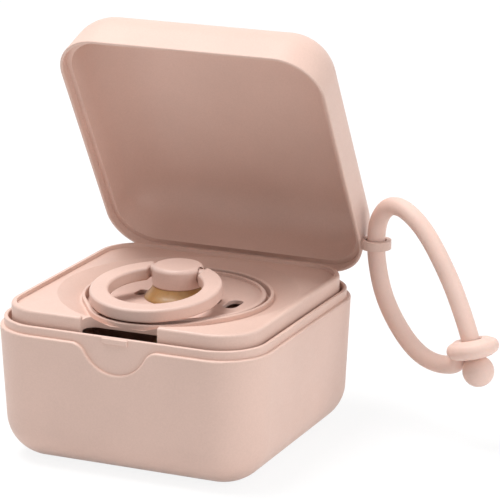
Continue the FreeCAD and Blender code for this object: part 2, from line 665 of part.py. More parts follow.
def make_pacifier_shield():
    body = new_body("pacifier_shield")
    border_inner = shield_radius - S.shield_border
    profile = new_sketch(body, "shield_profile", "XZ_Plane")
    outline(profile, (
        (S.neck_radius, shield_face), (border_inner, shield_face), (border_inner, shield_top),
        (shield_radius, shield_top), (shield_radius, shield_top - S.shield_edge),
        (shield_flat_radius, shield_back), (S.neck_radius, shield_back),
    ))
    disc = feature(body, "Revolution", "disc", profile)
    outer = lambda point: math.hypot(point.x, point.y) > shield_radius.value - SAME_PLACE
    round_edges(body, "border_rounding", disc, S.shield_border_round, outer)
    depth = shield_top - shield_back + S.overrun * 2
    for name, place, length, width, count in (
        ("vent", shield_radius - S.vent_margin, S.vent_length, S.vent_width, VENT_COUNT),
        ("relief", S.relief_radius, S.relief_length, S.relief_width, RELIEF_COUNT),
    ):
        sketch = new_sketch(body, f"{name}_outline", "XY_Plane", (ZERO, ZERO, shield_top + S.overrun))
        oval(sketch, place, length, width)
        hole = feature(body, "Pocket", name, sketch, depth)
        holed = pattern(body, f"{name}s", hole, count)

    def on_vent_edge(point):
        middle = math.hypot(point.x, point.y)
        inner = S.neck_radius.value + S.vent_round.value
        outer = border_inner.value - S.vent_round.value
        return at_level(shield_face)(point) and inner < middle < outer

    round_edges(body, "vent_rounding", holed, S.vent_round, on_vent_edge)
    return body


def make_pacifier_teat():
    body = new_body("pacifier_teat")
    bulb_middle = shield_back - S.teat_length + S.bulb_radius
    flange_back = shield_back - S.flange_thickness
    hollow = S.plug_radius + S.plug_clearance
    hollow_foot = knob_foot - S.plug_in_teat - S.plug_clearance
    profile = new_sketch(body, "teat_profile", "XZ_Plane")
    outline(profile, (
        (hollow, knob_foot), (hollow, hollow_foot), (ZERO, hollow_foot), (ZERO, bulb_middle - S.bulb_radius),
        (S.shank_radius, bulb_middle + across(S.bulb_radius, S.shank_radius)),
        (S.shank_top_radius, flange_back - S.shank_slope), (S.flange_radius, flange_back),
        (S.flange_radius, shield_back), (S.neck_radius, shield_back), (S.neck_radius, shield_face),
        (S.collar_radius, shield_face), (S.collar_top_radius, knob_foot),
    ), {3: S.bulb_radius})
    feature(body, "Revolution", "teat", profile)
    return body


def make_teat_plug():
    plug = doc.addObject("Part::Cylinder", "teat_plug")
    plug.Label = "teat_plug"
    bind(plug, "Radius", S.plug_radius)
    bind(plug, "Height", S.plug_in_teat + S.plug_in_knob)
    plug.Placement = FreeCAD.Placement(vector(ZERO, ZERO, knob_foot - S.plug_in_teat), FreeCAD.Rotation())
    return plug


def make_pacifier_knob():
    body = new_body("pacifier_knob")
    sketch = new_sketch(body, "knob_circle", "XY_Plane", (ZERO, ZERO, knob_foot))
    circle(sketch, S.knob_radius)
    drum = feature(body, "Pad", "drum", sketch, S.knob_height)
    drum = round_edges(body, "top_rounding", drum, S.knob_round, at_level(knob_foot + S.knob_height))
    round_edges(body, "foot_rounding", drum, S.knob_foot_round, at_level(knob_foot))
    socket = new_sketch(body, "socket_circle", "XY_Plane", (ZERO, ZERO, knob_foot))
    circle(socket, S.plug_radius + S.plug_clearance)
    feature(body, "Pocket", "plug_socket", socket, S.plug_in_knob + S.plug_clearance, reverse=True)
    notch_floor = S.knob_radius - S.knob_notch_depth
    pivot_bore = S.pivot_radius + S.pivot_clearance
    bore_end = notch_floor - S.pivot_length - S.pivot_end_gap
    notch_length = S.knob_notch_depth + S.overrun
    bore_length = notch_floor - bore_end
    bore(body, "right_notch", S.knob_notch_radius, notch_floor, notch_length, ZERO, pivot_level)
    bore(body, "left_notch", S.knob_notch_radius, -S.knob_radius - S.overrun, notch_length, ZERO, pivot_level)
    bore(body, "right_pivot", pivot_bore, bore_end, bore_length, ZERO, pivot_level)
    bore(body, "left_pivot", pivot_bore, -notch_floor, bore_length, ZERO, pivot_level)
    return body


def make_pacifier_ring():
    """The flat ring, open beside the knob, with a boss and a pin on each end."""
    body = new_body("pacifier_ring")
    pivot = (ZERO, ZERO, pivot_level)
    band = new_sketch(body, "ring_circles", "XY_Plane", pivot, S.ring_droop_angle)
    circle(band, ring_radius, ZERO, -ring_reach)
    circle(band, ring_radius - S.ring_width, ZERO, -ring_reach)
    feature(body, "Pad", "band", band, S.ring_thickness, both_ways=True)
    gap = new_sketch(body, "gap_outline", "XY_Plane", pivot, S.ring_droop_angle)
    end = S.knob_radius + S.ring_knob_gap
    rectangle(gap, -end, end, -S.ring_gap_depth, ring_radius - ring_reach + S.overrun)
    cut = feature(body, "Pocket", "knob_gap", gap, S.ring_thickness + S.overrun * 2, both_ways=True)
    round_edges(body, "ring_rounding", cut, S.ring_round, lambda point: True)
    notch_floor = S.knob_radius - S.knob_notch_depth
    boss_start = notch_floor + S.pivot_boss_gap
    boss_length = end + S.ring_round - boss_start
    pin_start = notch_floor - S.pivot_length
    pin_length = boss_start + S.pivot_boss_gap - pin_start
    stud(body, "right_boss", S.pivot_boss_radius, boss_start, boss_length, ZERO, pivot_level)
    stud(body, "left_boss", S.pivot_boss_radius, -boss_start - boss_length, boss_length, ZERO, pivot_level)
    stud(body, "right_pin", S.pivot_radius, pin_start, pin_length, ZERO, pivot_level)
    stud(body, "left_pin", S.pivot_radius, -pin_start - pin_length, pin_length, ZERO, pivot_level)
    return body


def strap_out():
    """The level direction in the strap's plane, away from the lug."""
    swing = math.radians(S.strap_swing.value)
    return FreeCAD.Vector(math.cos(swing), math.sin(swing), 0)


def strap_points():
    """The strap's route in the case's frame."""
    lug = lid_turn().multVec(vector(*lug_place))
    return [lug + strap_out() * along + FreeCAD.Vector(0, 0, up) for along, up in STRAP_ROUTE]


def strap_path(points):
    """Straight runs joined by tangent arcs, each as large as its two runs allow."""
    edges = []
    radii = []
    last = points[0]
    for before, point, after in zip(points, points[1:], points[2:]):
        towards = (before - point).normalize()
        onwards = (after - point).normalize()
        half_turn = (math.pi - towards.getAngle(onwards)) / 2
        reach = ARC_RUN_SHARE * min((before - point).Length, (after - point).Length)
        radius = reach / math.tan(half_turn)
        bisector = (towards + onwards).normalize()
        middle = point + bisector * (math.hypot(radius, reach) - radius)
        start = point + towards * reach
        stop = point + onwards * reach
        edges.append(Part.LineSegment(last, start).toShape())
        edges.append(Part.Arc(start, middle, stop).toShape())
        radii.append(radius)
        last = stop
    edges.append(Part.LineSegment(last, points[-1]).toShape())
    return Part.Wire(edges), radii


def make_strap_cord():
    points = strap_points()
    path, radii = strap_path(points)
    start = (points[1] - points[0]).normalize()
    section = Part.Wire(Part.Circle(points[0], start, cord_radius.value).toShape())
    cord = doc.addObject("Part::Feature", "strap_cord")
    cord.Label = "strap_cord"
    cord.Shape = path.makePipeShell([section], True, False)
    expected = math.pi * cord_radius.value**2 * path.Length
    print("strap length", round(path.Length, 2), "volume share", round(cord.Shape.Volume / expected, 4))
    print("strap radii", [round(radius, 1) for radius in radii])
    return cord


def facing(point, direction):
    """A placement at a point whose own +Z looks along a direction."""
    return FreeCAD.Placement(point, FreeCAD.Rotation(FreeCAD.Vector(0, 0, 1), direction))


def make_strap_eyelet():
    """A washer that the cord's other end runs through, with the stem that it is moulded on."""
    points = strap_points()
    stem_way = (points[0] - points[1]).normalize()
    cord_way = (points[-1] - points[-2]).normalize()
    washer = new_body("eyelet_washer")
    half = S.eyelet_thickness / 2
    profile = new_sketch(washer, "washer_profile", "XZ_Plane")
    rectangle(profile, cord_hole, S.eyelet_radius, -half, half)
    disc = feature(washer, "Revolution", "washer", profile)
    outer = lambda point: math.hypot(point.x, point.y) > S.eyelet_radius.value - SAME_PLACE
    round_edges(washer, "washer_rounding", disc, S.eyelet_round, outer)
    tilt = math.radians(S.eyelet_tilt_angle.value)
    axis = strap_out() * math.sin(tilt) - FreeCAD.Vector(0, 0, math.cos(tilt))
    washer.Placement = facing(points[-1] - cord_way * S.eyelet_setback.value, axis)
    stem = doc.addObject("Part::Cylinder", "eyelet_stem")
    bind(stem, "Radius", cord_radius)
    bind(stem, "Height", S.eyelet_stem)
    stem.Placement = facing(points[0], stem_way)
    eyelet = doc.addObject("Part::Fuse", "strap_eyelet")
    eyelet.Label = "strap_eyelet"
    eyelet.Base = washer
    eyelet.Tool = stem
    return eyelet


def make_strap_ball():
    """A ball with a small flat where the cord's end meets it."""
    points = strap_points()
    cord_way = (points[-1] - points[-2]).normalize()
    radius = S.ball_diameter / 2
    ball = doc.addObject("Part::Sphere", "strap_ball")
    ball.Label = "strap_ball"
    bind(ball, "Radius", radius)
    ball.setExpression("Angle2", f"acos({(cord_radius / radius).text})")
    ball.Placement = facing(points[-1] + cord_way * across(radius, cord_radius).value, -cord_way)
    return ball


def main():
    base = make_base_shell()
    pin = make_hinge_pin()
    lid = make_lid_shell()
    lid.Placement = lid_turn()
    tray = make_insert_tray()
    pacifier = (
        make_pacifier_shield(), make_pacifier_teat(), make_teat_plug(),
        make_pacifier_knob(), make_pacifier_ring(),
    )
    strap = (make_strap_cord(), make_strap_eyelet(), make_strap_ball())
    doc.recompute()
    faults = [item.Name for item in doc.Objects if {"Invalid", "Error"} & set(item.State)]
    if faults:
        raise RuntimeError(f"these objects failed: {faults}")
    pieces = (base, pin, lid, tray, *pacifier, *strap)
    for piece in pieces:
        if piece.Shape.isNull() or not piece.Shape.isValid():
            raise RuntimeError(f"{piece.Label} has no valid shape")
    os.makedirs("parts", exist_ok=True)
    for piece in pieces:
        piece.Shape.exportStep(os.path.join("parts", f"{piece.Label}.step"))
        box = piece.Shape.BoundBox
        low = [round(edge, 2) for edge in (box.XMin, box.YMin, box.ZMin)]
        high = [round(edge, 2) for edge in (box.XMax, box.YMax, box.ZMax)]
        print(piece.Label, len(piece.Shape.Solids), "solid", round(piece.Shape.Volume, 1), "mm3", low, high)


main()
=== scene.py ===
import json
import math

import bmesh
import bpy
from mathutils import Matrix, Vector


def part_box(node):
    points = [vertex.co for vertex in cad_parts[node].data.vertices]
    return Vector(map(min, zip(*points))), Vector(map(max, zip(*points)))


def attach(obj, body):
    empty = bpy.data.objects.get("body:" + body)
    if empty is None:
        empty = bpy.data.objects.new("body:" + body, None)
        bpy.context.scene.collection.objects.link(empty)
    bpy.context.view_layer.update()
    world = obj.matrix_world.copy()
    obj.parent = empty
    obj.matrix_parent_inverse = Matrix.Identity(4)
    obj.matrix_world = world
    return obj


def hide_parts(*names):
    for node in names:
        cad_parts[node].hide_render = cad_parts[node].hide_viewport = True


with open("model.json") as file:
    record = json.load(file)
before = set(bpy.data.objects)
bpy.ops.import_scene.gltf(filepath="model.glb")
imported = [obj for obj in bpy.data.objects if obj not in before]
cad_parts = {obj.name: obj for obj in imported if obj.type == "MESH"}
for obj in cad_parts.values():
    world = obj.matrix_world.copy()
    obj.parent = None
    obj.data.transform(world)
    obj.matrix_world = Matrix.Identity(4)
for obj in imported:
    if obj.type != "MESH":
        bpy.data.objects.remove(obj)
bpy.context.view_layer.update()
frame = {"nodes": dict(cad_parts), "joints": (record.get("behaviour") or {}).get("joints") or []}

bl_info = {
    "name": "Pacifier Case",
    "version": (1, 0, 0),
    "blender": (4, 5, 0),
    "location": "3D View > Sidebar > Pacifier Case",
    "description": "Dresses the packed pacifier case: finishes, loop strap, latex teat and studio stage",
    "category": "Object",
}

MM = 0.001
UP = Vector((0.0, 0.0, 1.0))

# Points nearer than this, in metres, are on the axis of a turned shape, or are one point.
ON_AXIS = 1e-6
SAME_POINT = 1e-7

CASE_NODES = ("base_shell", "lid_shell")
HARD_PACIFIER_NODES = ("pacifier_shield", "pacifier_knob", "pacifier_ring", "teat_plug")

# Control points of the cord's curve in the strap's upright plane, in millimetres: out from the lug's axis,
# and up from the lug.
STRAP_ROUTE_MM = (
    (25.2, -26.4),
    (20.6, -27.6),
    (12.1, -24.8),
    (3.4, -15.1),
    (0.0, -4.4),
    (0.0, 4.6),
    (2.2, 9.1),
    (5.5, 11.3),
    (10.2, 10.7),
    (16.9, 6.1),
    (24.4, -3.9),
    (28.8, -12.1),
    (31.6, -18.4),
    (33.2, -22.95),
)

# Points along the stem between the cord's first end and the eyelet, in the same plane.
STEM_ROUTE_MM = (
    (25.2, -26.4),
    (26.6, -25.8),
    (27.5, -24.8),
    (27.9, -23.4),
    (28.2, -21.6),
)
# The stem's thickness against the cord's, so that it covers the cord's end.
STEM_SWELL = 1.01

# The ridge where the ball's mould halves met: its height, and half its width as a turn in radians.
RIDGE_HEIGHT = 0.00004
RIDGE_SPREAD = 0.03

# Places of the two lamps, in metres.
KEY_LAMP_PLACE = (-0.3, -0.05, 1.1)
SIDE_LAMP_PLACE = (1.15, -0.15, 0.3)

WHITE = (1.0, 1.0, 1.0)

# The range that most of a noise texture's values lie in.
NOISE_LOW = 0.3
NOISE_HIGH = 0.7

# Sockets of a colour Mix node, whose names are also those of its sockets for numbers and vectors.
MIX_SHARE = 0
MIX_FIRST = 6
MIX_SECOND = 7
MIX_COLOUR = 2


def joint_place(name):
    """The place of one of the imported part's joints."""
    return Vector(next(joint for joint in frame["joints"] if joint["name"] == name)["pos_m"])


def colour_prop(name, description, default):
    return bpy.props.FloatVectorProperty(
        name=name, description=description, default=default, size=3, subtype="COLOR", min=0.0, max=1.0
    )


def length_prop(name, description, default):
    return bpy.props.FloatProperty(
        name=name, description=description, default=default, min=0.0,
        subtype="DISTANCE", unit="LENGTH", precision=5,
    )


def share_prop(name, description, default):
    return bpy.props.FloatProperty(
        name=name, description=description, default=default, min=0.0, max=1.0, subtype="FACTOR"
    )


def angle_prop(name, description, degrees):
    return bpy.props.FloatProperty(
        name=name, description=description, default=math.radians(degrees), subtype="ANGLE", unit="ROTATION"
    )


def power_prop(name, description, default):
    return bpy.props.FloatProperty(
        name=name, description=description, default=default, min=0.0, subtype="POWER"
    )


class PacifierCaseFinish(bpy.types.PropertyGroup):
    """Colours of all the pieces, and the surface of the moulded plastic."""

    case_colour: colour_prop("Case colour", "Moulded plastic of the base and the lid", (0.745, 0.530, 0.452))
    tray_colour: colour_prop("Tray colour", "Moulded plastic of the lift-out tray", (0.745, 0.530, 0.452))
    pacifier_colour: colour_prop(
        "Pacifier colour", "Moulded plastic of the shield, knob and ring", (0.710, 0.510, 0.440)
    )
    latex_colour: colour_prop("Latex colour", "Natural latex of the teat", (0.400, 0.215, 0.075))
    silicone_colour: colour_prop("Silicone colour", "Soft strap", (0.820, 0.602, 0.524))
    steel_colour: colour_prop("Pin colour", "Steel of the hinge pin", (0.560, 0.560, 0.570))
    plastic_roughness: share_prop("Plastic roughness", "Mean roughness of the satin plastic", 0.46)
    plastic_spread: share_prop("Plastic spread", "How far dull marks take the roughness off its mean", 0.07)
    grain: length_prop("Grain", "Size of the moulded surface's fine grain", 0.00028)


class PacifierCaseStrap(bpy.types.PropertyGroup):
    """Sizes of the loop strap."""

    cord_diameter: length_prop("Cord diameter", "Thickness of the round cord", 0.0046)
    swing: angle_prop("Swing", "Turn of the loop about its lug, from the right-hand side", -20.0)
    eyelet_radius: length_prop("Eyelet radius", "Outer radius of the eyelet", 0.0066)
    eyelet_thickness: length_prop("Eyelet thickness", "Thickness of the eyelet", 0.0045)
    eyelet_hole: length_prop("Eyelet hole", "Radius of the eyelet's hole", 0.0025)
    eyelet_setback: length_prop("Eyelet setback", "Middle of the eyelet before the cord's end", 0.0026)
    eyelet_tilt: angle_prop("Eyelet tilt", "Eyelet's axis from upright, in the strap's plane", 15.0)
    ball_diameter: length_prop("Ball diameter", "Ball on the end of the cord", 0.0079)
    voxel: length_prop("Voxel", "Grain of the mesh that joins the eyelet and its stem", 0.00022)


class PacifierCaseStage(bpy.types.PropertyGroup):
    """Camera, lights and floor."""

    azimuth: angle_prop("Azimuth", "Camera's turn to the right of the front", 24.225)
    elevation: angle_prop("Elevation", "Camera's height over the horizon", 15.911)
    aim_right: length_prop("Aim right", "Aim to the right of the middle of the case", 0.01787)
    aim_up: length_prop("Aim up", "Aim above the underside", 0.04677)
    distance: length_prop("Distance", "Camera to its aim", 0.7126)
    lens: bpy.props.FloatProperty(
        name="Lens", description="Focal length on a 36 mm sensor, in millimetres", default=203.2, min=1.0
    )
    surround: share_prop("Surround", "Strength of the even light from all round", 0.35)
    key_power: power_prop("Key power", "Power of the large soft lamp overhead", 12.8)
    key_size: length_prop("Key size", "Side of the lamp overhead", 0.6)
    side_power: power_prop("Side power", "Power of the large soft lamp on the right", 7.0)
    side_size: length_prop("Side size", "Side of the lamp on the right", 0.9)
    floor_half: length_prop("Floor reach", "Middle of the floor to its edge", 6.0)
    floor_drop: length_prop("Floor drop", "Floor below the underside of the case", 0.0002)
    floor_lit: share_prop("Floor bounce", "How much light the floor throws back on the case", 0.8)
    floor_shade: share_prop("Floor shade", "Part of the floor's white that shadows darken", 0.16)
    floor_glow: share_prop("Floor glow", "Part of the floor's white that is there without light", 0.87)


class Shader:
    """A material's node tree with short calls to fill it."""

    def __init__(self, name):
        self.material = bpy.data.materials.new(name)
        self.material.use_nodes = True
        self.tree = self.material.node_tree
        self.surface = self.tree.nodes["Principled BSDF"]
        self.place = self.add("ShaderNodeTexCoord").outputs["Object"]

    def add(self, kind, **settings):
        node = self.tree.nodes.new(kind)
        for key, value in settings.items():
            setattr(node, key, value)
        return node

    def link(self, source, target):
        self.tree.links.new(source, target)

    def socket(self, key):
        return self.surface.inputs[key.replace("_", " ")]

    def set(self, **values):
        """Numbers on the surface's own sockets."""
        for key, value in values.items():
            self.socket(key).default_value = value

    def feed(self, **sources):
        """Textures into the surface's own sockets."""
        for key, source in sources.items():
            self.link(source, self.socket(key))

    def noise(self, size, detail=3.0, roughness=0.5, stretch=None):
        """Noise whose features are about this size, in metres."""
        node = self.add("ShaderNodeTexNoise")
        node.inputs["Scale"].default_value = 1.0 / size
        node.inputs["Detail"].default_value = detail
        node.inputs["Roughness"].default_value = roughness
        source = self.place
        if stretch:
            mapping = self.add("ShaderNodeMapping")
            mapping.inputs["Scale"].default_value = stretch
            self.link(source, mapping.inputs["Vector"])
            source = mapping.outputs["Vector"]
        self.link(source, node.inputs["Vector"])
        return node.outputs["Fac"]

    def between(self, value, low, high):
        """A noise's value, spread from low to high."""
        node = self.add("ShaderNodeMapRange")
        node.inputs["From Min"].default_value = NOISE_LOW
        node.inputs["From Max"].default_value = NOISE_HIGH
        node.inputs["To Min"].default_value = low
        node.inputs["To Max"].default_value = high
        self.link(value, node.inputs["Value"])
        return node.outputs["Result"]

    def tint(self, value, first, second):
        """A colour that runs from first to second with the value."""
        node = self.add("ShaderNodeMix", data_type="RGBA")
        node.inputs[MIX_FIRST].default_value = (*first, 1.0)
        node.inputs[MIX_SECOND].default_value = (*second, 1.0)
        self.link(self.between(value, 0.0, 1.0), node.inputs[MIX_SHARE])
        return node.outputs[MIX_COLOUR]

    def multiply(self, first, second):
        """Two colours multiplied."""
        node = self.add("ShaderNodeMix", data_type="RGBA", blend_type="MULTIPLY")
        node.inputs[MIX_SHARE].default_value = 1.0
        self.link(first, node.inputs[MIX_FIRST])
        self.link(second, node.inputs[MIX_SECOND])
        return node.outputs[MIX_COLOUR]

    def bump(self, height, depth, strength, under=None):
        """A surface raised by the height, up to the depth in metres, over one that is under it."""
        node = self.add("ShaderNodeBump")
        node.inputs["Strength"].default_value = strength
        node.inputs["Distance"].default_value = depth
        self.link(height, node.inputs["Height"])
        if under:
            self.link(under, node.inputs["Normal"])
        return node.outputs["Normal"]


def shaded(colour, factor):
    return tuple(min(1.0, channel * factor) for channel in colour)


def grey(level):
    return (level, level, level, 1.0)


def moulded_plastic(name, colour, finish):
    """Satin moulded plastic: a fine even grain, faint flow clouds and a few dull handling marks."""
    shader = Shader(name)
    clouds = shader.noise(size=0.022, detail=4.0)
    speckle = shader.noise(size=finish.grain * 1.6, detail=2.0)
    marks = shader.noise(size=0.004, detail=5.0, roughness=0.65, stretch=(1.0, 1.0, 3.0))
    base = shader.tint(clouds, shaded(colour, 0.965), shaded(colour, 1.03))
    fleck = shader.tint(speckle, (0.955, 0.95, 0.945), WHITE)
    mean = finish.plastic_roughness
    spread = finish.plastic_spread
    pits = shader.noise(size=finish.grain, detail=2.0)
    grain = shader.bump(pits, depth=finish.grain * 0.12, strength=0.35)
    waves = shader.noise(size=0.009, detail=2.0)
    shader.feed(
        Base_Color=shader.multiply(base, fleck),
        Roughness=shader.between(marks, mean - spread, mean + spread),
        Normal=shader.bump(waves, depth=0.00003, strength=0.3, under=grain),
    )
    shader.set(Specular_IOR_Level=0.42)
    return shader.material


def soft_silicone(name, colour):
    """Soft silicone: matte, slightly see-through, with lint-like dull specks."""
    shader = Shader(name)
    clouds = shader.noise(size=0.012, detail=3.0)
    specks = shader.noise(size=0.0006, detail=3.0, roughness=0.7)
    base = shader.tint(clouds, shaded(colour, 0.97), shaded(colour, 1.03))
    fleck = shader.tint(specks, (0.96, 0.955, 0.95), WHITE)
    skin = shader.noise(size=0.0004, detail=2.0)
    shader.feed(
        Base_Color=shader.multiply(base, fleck),
        Roughness=shader.between(specks, 0.5, 0.66),
        Normal=shader.bump(skin, depth=0.00003, strength=0.3),
    )
    shader.set(Specular_IOR_Level=0.35, Subsurface_Weight=0.15, Subsurface_Scale=0.003)
    shader.set(Subsurface_Radius=(1.0, 0.5, 0.35))
    return shader.material


def natural_latex(name, colour):
    """Amber latex: cloudy, finely streaked, a little shiny and slightly see-through."""
    shader = Shader(name)
    clouds = shader.noise(size=0.006, detail=5.0, roughness=0.6)
    streaks = shader.noise(size=0.0015, detail=3.0, stretch=(1.0, 1.0, 0.25))
    base = shader.tint(clouds, shaded(colour, 0.78), shaded(colour, 1.18))
    fleck = shader.tint(streaks, (0.92, 0.89, 0.82), WHITE)
    shader.feed(
        Base_Color=shader.multiply(base, fleck),
        Roughness=shader.between(streaks, 0.3, 0.44),
        Normal=shader.bump(streaks, depth=0.00004, strength=0.35),
    )
    shader.set(Specular_IOR_Level=0.5, Subsurface_Weight=0.2, Subsurface_Scale=0.003)
    shader.set(Subsurface_Radius=(1.0, 0.45, 0.12))
    return shader.material


def drawn_steel(name, colour):
    """Steel wire with fine lines along its length."""
    shader = Shader(name)
    lines = shader.noise(size=0.0002, detail=3.0, stretch=(0.02, 1.0, 1.0))
    shader.feed(
        Base_Color=shader.tint(lines, shaded(colour, 0.85), colour),
        Roughness=shader.between(lines, 0.28, 0.42),
        Normal=shader.bump(lines, depth=0.00001, strength=0.3),
    )
    shader.set(Metallic=1.0)
    return shader.material


def give(node, material):
    """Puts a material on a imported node."""
    piece = frame["nodes"][node]
    piece.material_slots[0].material = material
    piece.data.shade_smooth()


def new_piece(name, shape, body, material):
    """A mesh piece from a bmesh, riding on a body."""
    mesh = bpy.data.meshes.new(name)
    shape.to_mesh(mesh)
    shape.free()
    mesh.materials.append(material)
    mesh.shade_smooth()
    piece = bpy.data.objects.new(name, mesh)
    bpy.context.scene.collection.objects.link(piece)
    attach(piece, body)
    return piece


def smooth_line(points, steps):
    """Points along a curve that passes through the given ones."""
    line = []
    padded = [points[0], *points, points[-1]]
    for before, first, last, after in zip(padded, padded[1:], padded[2:], padded[3:]):
        for step in range(steps):
            t = step / steps
            a, b, c, d = (Vector(p) for p in (before, first, last, after))
            square = (2 * a - 5 * b + 4 * c - d) * t**2
            cube = (3 * b - a - 3 * c + d) * t**3
            line.append(0.5 * (2 * b + (c - a) * t + square + cube))
    line.append(Vector(points[-1]))
    return line


def lathe(shape, line, move, sides=96):
    """Turns (radius, height) points about +Z, then moves all. Ends on the axis are closed."""
    rings = []
    for radius, height in line:
        if radius < ON_AXIS:
            rings.append([shape.verts.new(move @ Vector((0.0, 0.0, height)))])
            continue
        ring = []
        for side in range(sides):
            angle = 2 * math.pi * side / sides
            point = Vector((radius * math.cos(angle), radius * math.sin(angle), height))
            ring.append(shape.verts.new(move @ point))
        rings.append(ring)
    for low, high in zip(rings, rings[1:]):
        for side in range(sides):
            after = (side + 1) % sides
            below = [low[side % len(low)], low[after % len(low)]]
            above = [high[after % len(high)], high[side % len(high)]]
            corners = list(dict.fromkeys(below + above))
            if len(corners) > 2:
                shape.faces.new(corners)


def facing(point, direction):
    """A move that puts +Z along a direction and the origin at a point."""
    return Matrix.Translation(point) @ UP.rotation_difference(direction).to_matrix().to_4x4()


def strap_out(strap):
    """The level direction in the strap's plane, away from the lug."""
    return Vector((math.cos(strap.swing), math.sin(strap.swing), 0.0))


def strap_points(strap, route):
    """A route in the strap's plane, moved to the case's frame, in metres."""
    lug = joint_place("strap_swing")
    return [lug + strap_out(strap) * along * MM + UP * up * MM for along, up in route]


class PACIFIERCASE_OT_strap(bpy.types.Operator):
    """Makes the loop strap: a silicone cord with its eyelet and its end ball"""

    bl_idname = "pacifier_case.strap"
    bl_label = "Loop Strap"

    def execute(self, context):
        strap = context.scene.pacifier_case_strap
        silicone = soft_silicone("strap_silicone", context.scene.pacifier_case_finish.silicone_colour)
        points = strap_points(strap, STRAP_ROUTE_MM)
        radius = strap.cord_diameter / 2
        cord = self.make_cord(points, radius, silicone)
        way = (points[-1] - points[-2]).normalized()
        eyelet = self.make_eyelet(strap, points, way, radius, silicone)
        ball = self.make_ball(strap, points[-1], way, radius, silicone)
        return {"FINISHED"}

    def make_cord(self, points, radius, silicone):
        """The round cord along its route."""
        line = bpy.data.curves.new("strap_loop", "CURVE")
        line.dimensions = "3D"
        line.bevel_depth = radius
        line.bevel_resolution = 8
        line.use_fill_caps = True
        spline = line.splines.new("NURBS")
        spline.points.add(len(points) - 1)
        for target, point in zip(spline.points, points):
            target.co = (*point, 1.0)
        spline.order_u = 3
        spline.use_endpoint_u = True
        spline.resolution_u = 16
        line.materials.append(silicone)
        cord = bpy.data.objects.new("strap_loop", line)
        bpy.context.scene.collection.objects.link(cord)
        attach(cord, "strap")
        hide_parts("strap_cord")
        return cord

    def make_eyelet(self, strap, points, way, radius, silicone):
        """A soft washer grown together with the stem of the cord."""
        shape = bmesh.new()
        half = strap.eyelet_thickness / 2
        hole = strap.eyelet_hole
        rim = strap.eyelet_radius
        # The rounded section, as radii and heights, from the hole over the flat to the rim and back beneath.
        upper = (
            (hole, half * 0.8), (hole + half * 0.15, half), ((hole + rim) / 2, half),
            (rim - half * 0.9, half * 0.94), (rim - half * 0.25, half * 0.62),
        )
        lower = [(out, -height) for out, height in reversed(upper)]
        profile = (lower[-1], *upper, (rim, 0.0), *lower)
        axis = strap_out(strap) * math.sin(strap.eyelet_tilt) - UP * math.cos(strap.eyelet_tilt)
        middle = points[-1] - way * strap.eyelet_setback
        lathe(shape, smooth_line(profile, steps=4), facing(middle, axis))
        bmesh.ops.remove_doubles(shape, verts=shape.verts, dist=SAME_POINT)
        stem = radius * STEM_SWELL
        for point in smooth_line(strap_points(strap, STEM_ROUTE_MM), steps=4):
            place = Matrix.Translation(point)
            bmesh.ops.create_uvsphere(shape, u_segments=48, v_segments=24, radius=stem, matrix=place)
        bmesh.ops.recalc_face_normals(shape, faces=shape.faces)
        piece = new_piece("strap_eyelet_soft", shape, "strap", silicone)
        knit = piece.modifiers.new("grown_together", "REMESH")
        knit.mode = "VOXEL"
        knit.voxel_size = strap.voxel
        knit.use_smooth_shade = True
        ease = piece.modifiers.new("eased", "SMOOTH")
        ease.factor = 0.5
        ease.iterations = 6
        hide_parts("strap_eyelet")
        return piece

    def make_ball(self, strap, end, way, radius, silicone):
        """The end ball, with the low ridge where its mould halves met."""
        shape = bmesh.new()
        size = strap.ball_diameter / 2
        reach = math.sqrt(size**2 - radius**2)
        line = []
        start = math.asin(radius / size)
        steps = 40
        for step in range(steps + 1):
            angle = start + (math.pi - start) * step / steps
            ridge = RIDGE_HEIGHT * math.exp(-((angle - math.pi / 2) / RIDGE_SPREAD) ** 2)
            line.append(((size + ridge) * math.sin(angle), (size + ridge) * math.cos(angle)))
        line[-1] = (0.0, -size)
        line.insert(0, (0.0, reach))
        lathe(shape, line, facing(end + way * reach, -way))
        bmesh.ops.recalc_face_normals(shape, faces=shape.faces)
        piece = new_piece("strap_ball_soft", shape, "strap", silicone)
        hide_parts("strap_ball")
        return piece


class PACIFIERCASE_OT_teat(bpy.types.Operator):
    """Makes the soft latex teat with its collar"""

    bl_idname = "pacifier_case.teat"
    bl_label = "Latex Teat"

    # Radii, and heights over the tip of the bulb, in millimetres.
    OUTLINE_MM = (
        (0.0, 0.0), (3.2, 0.62), (6.0, 2.5), (7.9, 5.4), (8.5, 8.5), (8.1, 11.2), (6.9, 13.6), (5.7, 15.6),
        (5.2, 17.6), (5.3, 19.6), (5.7, 21.6), (6.4, 23.0), (7.6, 24.2), (8.3, 24.7), (8.35, 25.55),
        (7.0, 25.6),
    )
    GROOVE_MM = (7.0, 26.7)
    COLLAR_MM = ((8.45, 26.7), (8.4, 27.1), (7.9, 27.7), (7.2, 28.4), (6.6, 29.2), (6.25, 29.9))
    BORE_MM = ((3.1, 29.9), (3.1, 20.0), (0.0, 20.0))

    def execute(self, context):
        latex = natural_latex("teat_latex", context.scene.pacifier_case_finish.latex_colour)
        low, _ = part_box("pacifier_teat")
        shape = bmesh.new()
        body = smooth_line(self.OUTLINE_MM, steps=5)
        collar = smooth_line(self.COLLAR_MM, steps=5)
        line = [*body, self.GROOVE_MM, *collar, *self.BORE_MM]
        lathe(shape, [(radius * MM, height * MM) for radius, height in line], Matrix.Translation(UP * low[2]))
        bmesh.ops.recalc_face_normals(shape, faces=shape.faces)
        piece = new_piece("teat_soft", shape, "pacifier", latex)
        piece.data.set_sharp_from_angle(angle=math.radians(50))
        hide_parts("pacifier_teat")
        return {"FINISHED"}


